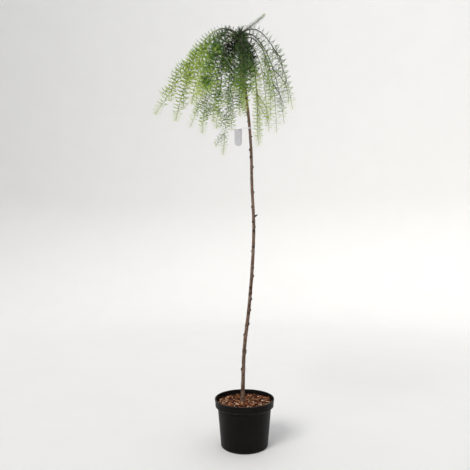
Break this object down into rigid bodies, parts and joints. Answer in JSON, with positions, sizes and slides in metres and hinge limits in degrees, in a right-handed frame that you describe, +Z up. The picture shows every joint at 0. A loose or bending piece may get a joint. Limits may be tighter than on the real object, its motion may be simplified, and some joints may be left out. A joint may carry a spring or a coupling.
{
  "type": "weeping larch standard",
  "caption": "Potted weeping larch: one tall slim stem, a grafted head and arching boughs that hang in long needled sprays, in a round tapered nursery pot topped with bark mulch.",
  "frame": {"origin": "centre of the pot's flat underside, where it stands on the floor", "axes": "+Z up along the pot's axis, +X to the right in the picture, -Y towards the camera"},
  "size_m": [0.5965, 0.5737, 1.8182],
  "materials": {
    "bark": "matt",
    "young_bark": "matt",
    "needles": "matt",
    "pot_plastic": "satin",
    "bark_mulch": "matt",
    "tag_plastic": "satin"
  },
  "bodies": {
    "root": {"bark_mulch_and_soil": "bark_mulch", "bough_01": "young_bark", "bough_02": "young_bark", "bough_03": "young_bark", "bough_04": "young_bark", "bough_05": "young_bark", "bough_06": "young_bark", "bough_07": "young_bark", "bough_08": "young_bark", "bough_09": "young_bark", "bough_10": "young_bark", "bough_11": "young_bark", "bough_12": "young_bark", "bough_13": "young_bark", "bough_14": "young_bark", "bough_15": "young_bark", "bough_16": "young_bark", "bough_17": "young_bark", "bough_18": "young_bark", "bough_19": "young_bark", "bough_20": "young_bark", "bough_21": "young_bark", "bough_22": "young_bark", "leading_shoot": "needles", "name_tag": "tag_plastic", "nursery_pot": "pot_plastic", "stem": "bark", "top_spray_1": "needles", "top_spray_2": "needles", "top_spray_3": "needles", "top_spray_4": "needles", "weeping_spray_01": "needles", "weeping_spray_02": "needles", "weeping_spray_03": "needles", "weeping_spray_04": "needles", "weeping_spray_05": "needles", "weeping_spray_06": "needles", "weeping_spray_07": "needles", "weeping_spray_08": "needles", "weeping_spray_09": "needles", "weeping_spray_10": "needles", "weeping_spray_11": "needles", "weeping_spray_12": "needles", "weeping_spray_13": "needles", "weeping_spray_14": "needles", "weeping_spray_15": "needles", "weeping_spray_16": "needles", "weeping_spray_17": "needles", "weeping_spray_18": "needles", "weeping_spray_19": "needles", "weeping_spray_20": "needles", "weeping_spray_21": "needles", "weeping_spray_22": "needles"}
  },
  "joints": []
}
